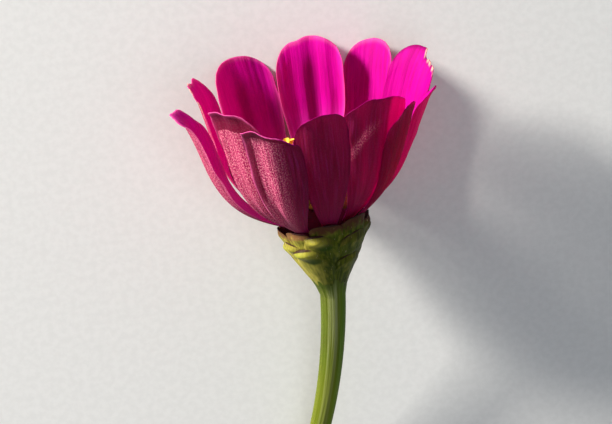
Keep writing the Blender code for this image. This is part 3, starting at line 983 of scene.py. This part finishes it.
def bract_material():
    """Fleshy green, brown under the petals, with painted sunlight in yellow on its knobs and at the
    bloom's left, painted shadow beside the knobs and painted shade towards the cup's foot.
    """
    looks = Looks("bract")
    place = looks.mark("place", "Vector")
    tip = looks.mark("tip")
    rim = looks.mark("rim")
    knob = looks.mark("knob")
    streaks = looks.noise(looks.stretched(place, (2.4, 0.35, 1.0)), 1.0, 3.0, 0.55)
    mottle = looks.noise(place, 0.8, 3.0)
    # Green in painted shade and yellow in painted sunlight, mixed towards the bloom's left.
    green = looks.mix(looks.spread(streaks), rgb(0.03, 0.045, 0.002), rgb(0.08, 0.10, 0.005))
    yellow = looks.mix(looks.spread(streaks), rgb(0.27, 0.25, 0.03), rgb(0.45, 0.39, 0.06))
    sunny = looks.band(looks.mark("sunny"), 0.45, 0.9)
    lit = looks.maths("ADD", sunny, looks.band(mottle, 0.3, 0.7, -0.3, 0.2), clamp=True)
    green = looks.mix(lit, green, yellow)
    # Painted light on the knobs, the more so where the painted sunlight is.
    knob_highlight = looks.maths("MULTIPLY", knob, looks.band(looks.mark("sunny"), 0.1, 0.6, 0.1, 0.85))
    knob_sun_side = looks.band(looks.mark("sunny"), 0.55, 0.9)
    painted_knob_light = looks.mix(knob_sun_side, rgb(0.50, 0.46, 0.06), rgb(0.27, 0.31, 0.03))
    # Painted shadow beside each knob.
    hollow = looks.band(looks.mark("hollow"), 0.2, 0.7, 0.0, 0.85)
    green = looks.mix(hollow, green, rgb(0.02, 0.05, 0.003))
    green = looks.mix(knob_highlight, green, painted_knob_light)
    # Painted shade towards the cup's foot, darkest away from the painted sunlight.
    low = looks.band(tip, 0.42, 0.02, 0.0, 0.8)
    foot = looks.mix(sunny, rgb(0.012, 0.03, 0.002), rgb(0.10, 0.125, 0.012))
    green = looks.mix(low, green, foot)
    green = looks.mix(looks.band(tip, 0.12, 0.0, 0.0, 0.9), green, rgb(0.06, 0.09, 0.007))
    warm = looks.maths("ADD", tip, looks.scatter(mottle, 0.08))
    browned = looks.maths("MULTIPLY", looks.band(warm, 0.68, 0.88, 0.0, 0.9), looks.mark("brown"))
    # The brown under the petals, painted lighter where the painted sunlight is.
    russet = looks.mix(sunny, rgb(0.075, 0.02, 0.014), rgb(0.16, 0.06, 0.03))
    colour = looks.mix(browned, green, russet)
    scars = looks.noise(looks.stretched(place, (1.6, 0.8, 1.0)), 1.7, 3.0, 0.7)
    colour = looks.mix(looks.band(scars, 0.62, 0.7, 0.0, 0.5), colour, rgb(0.36, 0.30, 0.18))
    colour = looks.mix(looks.band(rim, 0.15, 0.55, 0.0, 0.95), colour, rgb(0.035, 0.012, 0.012))
    colour = looks.mix(looks.mark("inner"), colour, rgb(0.07, 0.008, 0.02))
    normal = looks.bump(streaks, 0.4, 0.0002, looks.bump(mottle, 0.4, 0.0003))
    skin = looks.add("BsdfPrincipled", {
        "Base Color": colour,
        "Roughness": 0.5,
        "Specular IOR Level": 0.06,
        "Subsurface Weight": 0.12,
        "Subsurface Radius": (0.4, 0.5, 0.1),
        "Subsurface Scale": 0.0008,
        "Normal": normal,
    })
    return looks.finish(skin)


def stem_material():
    """Fresh green, painted shade at its sides, a pale streak down its front, dark red inside the cup.
    """
    looks = Looks("stem")
    place = looks.mark("place", "Vector")
    parts = looks.add("SeparateXYZ", {"Vector": place}).outputs
    lines = looks.noise(looks.stretched(place, (2.2, 2.2, 0.05)), 1.0, 3.0, 0.55)
    patches = looks.noise(looks.stretched(place, (0.5, 0.5, 0.12)), 1.0, 3.0)
    skin_grain = looks.noise(looks.stretched(place, (6.0, 6.0, 1.6)), 1.0, 2.0)
    # In place, X runs from the bloom's right to its left, -Y is its front and Z runs down.
    # Painted shading across the stem: its sides are painted darker than its middle, the right one
    # greener.
    middle = looks.mix(looks.spread(lines), rgb(0.13, 0.16, 0.015), rgb(0.18, 0.20, 0.035))
    left = looks.mix(looks.spread(lines), rgb(0.06, 0.085, 0.006), rgb(0.11, 0.13, 0.02))
    right = looks.mix(looks.spread(lines), rgb(0.05, 0.12, 0.004), rgb(0.09, 0.18, 0.01))
    green = looks.mix(looks.band(parts["X"], 0.3, 1.4), middle, left)
    green = looks.mix(looks.band(parts["X"], -0.5, -1.4), green, right)
    green = looks.mix(looks.band(patches, 0.4, 0.7, 0.0, 0.4), green, rgb(0.10, 0.15, 0.01))
    lower = looks.band(parts["Z"], 24.0, 36.0, 0.0, 0.35)
    green = looks.mix(lower, green, rgb(0.20, 0.24, 0.012))
    # A pale streak down the stem's front that fades towards its foot; bloom here says how far to the
    # front a point is.
    bloom = looks.maths("ADD", parts["Y"], looks.scatter(lines, -0.25))
    fading = looks.band(parts["Z"], 20.0, 32.0, 1.0, 0.25)
    streak = looks.maths("MULTIPLY", looks.band(bloom, -1.7, -2.05, 0.0, 0.6), fading)
    green = looks.mix(streak, green, rgb(0.30, 0.33, 0.16))
    thin_lines = looks.maths("MULTIPLY", looks.band(lines, 0.58, 0.78, 0.0, 0.25), fading)
    colour = looks.mix(thin_lines, green, rgb(0.30, 0.34, 0.14))
    neck = looks.maths("ADD", parts["Z"], looks.scatter(lines, 1.0))
    colour = looks.mix(looks.band(neck, 16.5, 13.0, 0.0, 0.85), colour, rgb(0.06, 0.09, 0.007))
    colour = looks.mix(looks.band(parts["Z"], 12.5, 10.5), colour, rgb(0.09, 0.008, 0.025))
    normal = looks.bump(lines, 0.4, 0.0003, looks.bump(skin_grain, 0.3, 0.00008))
    skin = looks.add("BsdfPrincipled", {
        "Base Color": colour,
        "Roughness": 0.5,
        "Specular IOR Level": 0.06,
        "Subsurface Weight": 0.15,
        "Subsurface Radius": (0.4, 0.6, 0.1),
        "Subsurface Scale": 0.0012,
        "Normal": normal,
    })
    return looks.finish(skin)


def floret_material():
    """Golden yellow, dull down the tube and brown in the throat."""
    looks = Looks("floret")
    height = looks.mark("height")
    inner = looks.mark("inner")
    coordinates = looks.add("TexCoord").outputs["Object"]
    grain = looks.noise(coordinates, 6000.0, 2.0)
    golden = looks.mix(looks.band(height, 0.55, 0.82), rgb(0.20, 0.15, 0.04), rgb(0.92, 0.52, 0.02))
    colour = looks.mix(looks.band(grain, 0.4, 0.7, 0.0, 0.4), golden, rgb(1.0, 0.68, 0.05))
    throat = looks.maths("MULTIPLY", inner, looks.band(height, 0.95, 0.8))
    colour = looks.mix(throat, colour, rgb(0.35, 0.10, 0.01))
    skin = looks.add("BsdfPrincipled", {
        "Base Color": colour,
        "Roughness": 0.55,
        "Sheen Weight": 0.15,
        "Sheen Tint": rgb(1.0, 0.9, 0.5),
        "Normal": looks.bump(grain, 0.4, 0.00008),
    })
    return looks.finish(skin)


def dome_material():
    """Buds of green turning yellow at their ends, among chaff of dark red with black points."""
    looks = Looks("dome")
    kind = looks.mark("kind")
    height = looks.mark("height")
    coordinates = looks.add("TexCoord").outputs["Object"]
    grain = looks.noise(coordinates, 5000.0, 2.0)
    bud = looks.mix(looks.band(height, 0.3, 0.9), rgb(0.14, 0.17, 0.02), rgb(0.62, 0.42, 0.03))
    chaff = looks.mix(looks.band(height, 0.35, 0.95), rgb(0.24, 0.02, 0.035), rgb(0.03, 0.006, 0.008))
    pieces = looks.mix(looks.band(kind, 1.2, 1.8), bud, chaff)
    colour = looks.mix(looks.band(kind, 0.2, 0.8), rgb(0.06, 0.015, 0.015), pieces)
    colour = looks.mix(looks.band(grain, 0.4, 0.7, 0.0, 0.3), colour, rgb(0.30, 0.12, 0.04))
    skin = looks.add("BsdfPrincipled", {
        "Base Color": colour,
        "Roughness": 0.6,
        "Normal": looks.bump(grain, 0.4, 0.00008),
    })
    return looks.finish(skin)


def floor_material():
    """A plain pale sweep with the faintest tooth."""
    looks = Looks("floor")
    coordinates = looks.add("TexCoord").outputs["Object"]
    tooth = looks.noise(coordinates, 900.0, 2.0)
    colour = looks.mix(looks.band(tooth, 0.3, 0.7), rgb(0.76, 0.77, 0.76), rgb(0.80, 0.81, 0.80))
    skin = looks.add("BsdfPrincipled", {"Base Color": colour, "Roughness": 0.8})
    return looks.finish(skin)


# --- Stage ---


def floor():
    """The pale surface that the bloom lies on, FLOOR_REACH metres to every side."""
    mesh = bpy.data.meshes.new("floor")
    signs = ((-1, -1), (1, -1), (1, 1), (-1, 1))
    corners = [(x * FLOOR_REACH, y * FLOOR_REACH, 0) for x, y in signs]
    mesh.from_pydata(corners, [], [(0, 1, 2, 3)])
    mesh.materials.append(floor_material())
    add_object("floor", mesh)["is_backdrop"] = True


def view_axes():
    """The camera's right, up and back directions and the bloom's origin, in the laid frame."""
    rise = math.radians(VIEW_ELEVATION)
    lean = math.radians(VIEW_LEAN)
    side = Vector((1, 0, 0))
    top = Vector((0, math.sin(rise), math.cos(rise)))
    back = Vector((0, -math.cos(rise), math.sin(rise)))
    lie = lie_matrix()
    turn = lie.to_3x3()
    right = turn @ (side * math.cos(lean) - top * math.sin(lean))
    up = turn @ (top * math.cos(lean) + side * math.sin(lean))
    return right, up, turn @ back, lie.translation


def camera():
    """A long lens that looks down on the bloom, square to it but for a tilt towards its mouth."""
    right, up, back, origin = view_axes()
    aim = (origin + right * VIEW_RIGHT + up * VIEW_UP) * TO_METRES
    lens = bpy.data.cameras.new("camera")
    lens.sensor_width = SENSOR_WIDTH
    lens.lens = SENSOR_WIDTH * VIEW_DISTANCE / VIEW_WIDTH
    lens.clip_start = CLIP_START
    lens.clip_end = CLIP_END
    made = add_object("camera", lens)
    turn = Matrix((right, up, back)).transposed().to_4x4()
    made.matrix_world = Matrix.Translation(aim + back * VIEW_DISTANCE * TO_METRES) @ turn
    bpy.context.scene.camera = made


def softbox(box):
    """A square area light that faces the bloom from its direction."""
    light = bpy.data.lights.new(box.name, "AREA")
    light.size = box.size
    light.energy = box.watts
    light.color = box.colour
    made = add_object(box.name, light)
    towards = Vector(box.direction).normalized()
    made.location = lie_matrix().translation * TO_METRES + towards * box.distance
    made.rotation_mode = "QUATERNION"
    made.rotation_quaternion = towards.to_track_quat("Z", "Y")


def surround():
    """A dim even light from all around."""
    world = bpy.data.worlds.new("surround")
    world.use_nodes = True
    background = world.node_tree.nodes["Background"]
    background.inputs["Color"].default_value = SURROUND_COLOUR
    background.inputs["Strength"].default_value = SURROUND_STRENGTH
    bpy.context.scene.world = world
    bpy.context.scene.view_settings.view_transform = "Standard"


def build():
    """All pieces, and the floor, camera and light around them."""
    petal_look = petal_material()
    for shape in PETALS:
        petal(shape, petal_look)
    bract_look = bract_material()
    for ring in BRACT_RINGS:
        for number in range(ring.count):
            bract(ring, number, bract_look)
    stem(stem_material())
    floret_look = floret_material()
    for number in range(FLORET_COUNT):
        floret(number, floret_look)
    dome(dome_material())
    floor()
    camera()
    for box in SOFTBOXES:
        softbox(box)
    surround()


build()
visual_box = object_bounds()
boxes = {"cad": CAD_BOX, "visual": visual_box}
{name: [list(corner) for corner in box] for name, box in boxes.items()}
